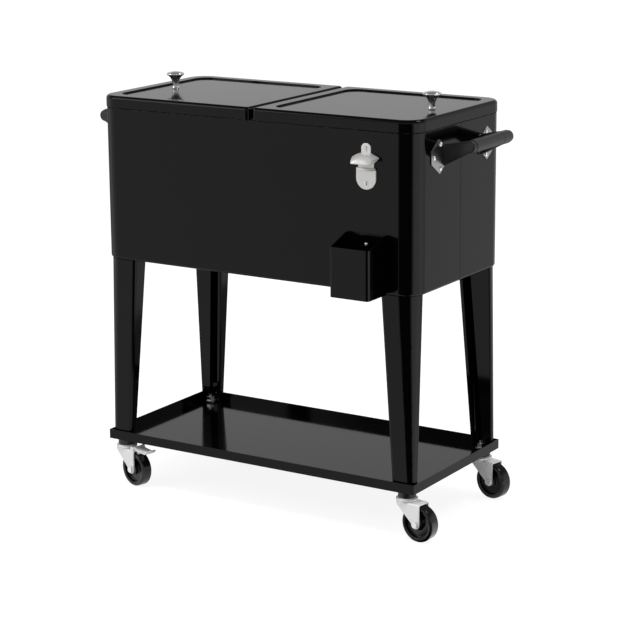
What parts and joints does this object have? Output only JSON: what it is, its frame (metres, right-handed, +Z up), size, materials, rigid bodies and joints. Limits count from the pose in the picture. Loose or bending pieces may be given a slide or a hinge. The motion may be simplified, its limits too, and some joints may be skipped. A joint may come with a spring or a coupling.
{
  "type": "rolling patio cooler",
  "caption": "Insulated steel cooler chest with centre-hinged lids on tapered legs, a storage tray, swivel casters, end handles, a bottle opener and a cap catcher.",
  "frame": {"origin": "on the floor, under the middle of the outline", "axes": "+X along the length towards the right end, +Y towards the back, +Z up; the opener is on -Y"},
  "size_m": [0.8906, 0.4294, 0.8655],
  "materials": {
    "black_paint": "gloss",
    "liner_plastic": "satin",
    "insulation": "matte",
    "seal_rubber": "matte",
    "zinc_steel": "satin",
    "knob_chrome": "polished",
    "opener_steel": "satin",
    "wheel_black": "satin",
    "spacer_black": "satin",
    "handle_black": "satin",
    "drain_plastic": "satin"
  },
  "bodies": {
    "cabinet": {"bottle_opener": "opener_steel", "bottom_pan": "black_paint", "caster_nuts": "zinc_steel", "caster_spacers": "spacer_black", "caster_stems": "zinc_steel", "crossbar_rivets": "zinc_steel", "drain_fitting": "drain_plastic", "front_left_leg": "black_paint", "front_panel_screws": "zinc_steel", "front_right_leg": "black_paint", "front_shell": "black_paint", "handle_backing_plates": "zinc_steel", "handle_bolts": "zinc_steel", "handle_plates": "zinc_steel", "hinge_crossbar": "zinc_steel", "hinge_ears": "zinc_steel", "hinge_pins": "zinc_steel", "inner_liner": "liner_plastic", "insulation_foam": "insulation", "left_handle_arms": "handle_black", "left_handle_grip": "handle_black", "leg_bolts": "zinc_steel", "rear_left_leg": "black_paint", "rear_right_leg": "black_paint", "rear_shell": "black_paint", "right_handle_arms": "handle_black", "right_handle_grip": "handle_black", "storage_tray": "black_paint", "swivel_rings": "zinc_steel"},
    "right_lid": {"right_lid_cover": "black_paint", "right_lid_foam": "insulation", "right_lid_gasket": "seal_rubber", "right_lid_hinge_lugs": "zinc_steel", "right_lid_inner_pan": "liner_plastic", "right_lid_knob": "knob_chrome", "right_lid_knob_screw": "zinc_steel"},
    "left_lid": {"left_lid_cover": "black_paint", "left_lid_foam": "insulation", "left_lid_gasket": "seal_rubber", "left_lid_hinge_lugs": "zinc_steel", "left_lid_inner_pan": "liner_plastic", "left_lid_knob": "knob_chrome", "left_lid_knob_screw": "zinc_steel"},
    "front_left_caster": {"front_left_fork": "zinc_steel", "front_left_axle": "zinc_steel"},
    "front_left_wheel": {"front_left_wheel": "wheel_black"},
    "front_right_caster": {"front_right_fork": "zinc_steel", "front_right_axle": "zinc_steel"},
    "front_right_wheel": {"front_right_wheel": "wheel_black"},
    "rear_left_caster": {"rear_left_fork": "zinc_steel", "rear_left_axle": "zinc_steel"},
    "rear_left_wheel": {"rear_left_wheel": "wheel_black"},
    "rear_right_caster": {"rear_right_fork": "zinc_steel", "rear_right_axle": "zinc_steel"},
    "rear_right_wheel": {"rear_right_wheel": "wheel_black"},
    "front_left_brake_pedal": {"front_left_brake_pedal": "zinc_steel"},
    "rear_left_brake_pedal": {"rear_left_brake_pedal": "zinc_steel"},
    "cap_catcher": {"cap_catcher": "black_paint"},
    "drain_cap": {"drain_cap": "drain_plastic"}
  },
  "joints": [
    {"name": "right_lid_hinge", "type": "hinge", "parent": "cabinet", "child": "right_lid", "pos_m": [0.0102, 0.03365, 0.828], "axis": [0, -1, 0], "range_deg": [0, 82]},
    {"name": "left_lid_hinge", "type": "hinge", "parent": "cabinet", "child": "left_lid", "pos_m": [-0.0102, 0.03365, 0.828], "axis": [0, 1, 0], "range_deg": [0, 82]},
    {"name": "front_left_swivel", "type": "hinge", "parent": "cabinet", "child": "front_left_caster", "pos_m": [-0.345, -0.12335, 0.0795], "axis": [0, 0, 1], "continuous": true},
    {"name": "front_left_wheel_spin", "type": "hinge", "parent": "front_left_caster", "child": "front_left_wheel", "pos_m": [-0.31328, -0.13245, 0.0375], "axis": [0.2756, 0.9613, 0], "continuous": true},
    {"name": "front_left_brake_press", "type": "hinge", "parent": "front_left_caster", "child": "front_left_brake_pedal", "pos_m": [-0.30943, -0.13355, 0.0837], "axis": [0.2756, 0.9613, 0], "range_deg": [0, 8]},
    {"name": "front_right_swivel", "type": "hinge", "parent": "cabinet", "child": "front_right_caster", "pos_m": [0.345, -0.12335, 0.0795], "axis": [0, 0, 1], "continuous": true},
    {"name": "front_right_wheel_spin", "type": "hinge", "parent": "front_right_caster", "child": "front_right_wheel", "pos_m": [0.37768, -0.12794, 0.0375], "axis": [0.1392, 0.9903, 0], "continuous": true},
    {"name": "rear_left_swivel", "type": "hinge", "parent": "cabinet", "child": "rear_left_caster", "pos_m": [-0.345, 0.19065, 0.0795], "axis": [0, 0, 1], "continuous": true},
    {"name": "rear_left_wheel_spin", "type": "hinge", "parent": "rear_left_caster", "child": "rear_left_wheel", "pos_m": [-0.31312, 0.18211, 0.0375], "axis": [0.2588, 0.9659, 0], "continuous": true},
    {"name": "rear_left_brake_press", "type": "hinge", "parent": "rear_left_caster", "child": "rear_left_brake_pedal", "pos_m": [-0.30926, 0.18107, 0.0837], "axis": [0.2588, 0.9659, 0], "range_deg": [0, 8]},
    {"name": "rear_right_swivel", "type": "hinge", "parent": "cabinet", "child": "rear_right_caster", "pos_m": [0.345, 0.19065, 0.0795], "axis": [0, 0, 1], "continuous": true},
    {"name": "rear_right_wheel_spin", "type": "hinge", "parent": "rear_right_caster", "child": "rear_right_wheel", "pos_m": [0.37728, 0.18379, 0.0375], "axis": [0.2079, 0.9781, 0], "continuous": true},
    {"name": "cap_catcher_lift", "type": "slide", "parent": "cabinet", "child": "cap_catcher", "axis": [0, 0, 1], "range_m": [0, 0.01]},
    {"name": "drain_cap_pull", "type": "slide", "parent": "cabinet", "child": "drain_cap", "axis": [-1, 0, 0], "range_m": [0, 0.015]}
  ]
}
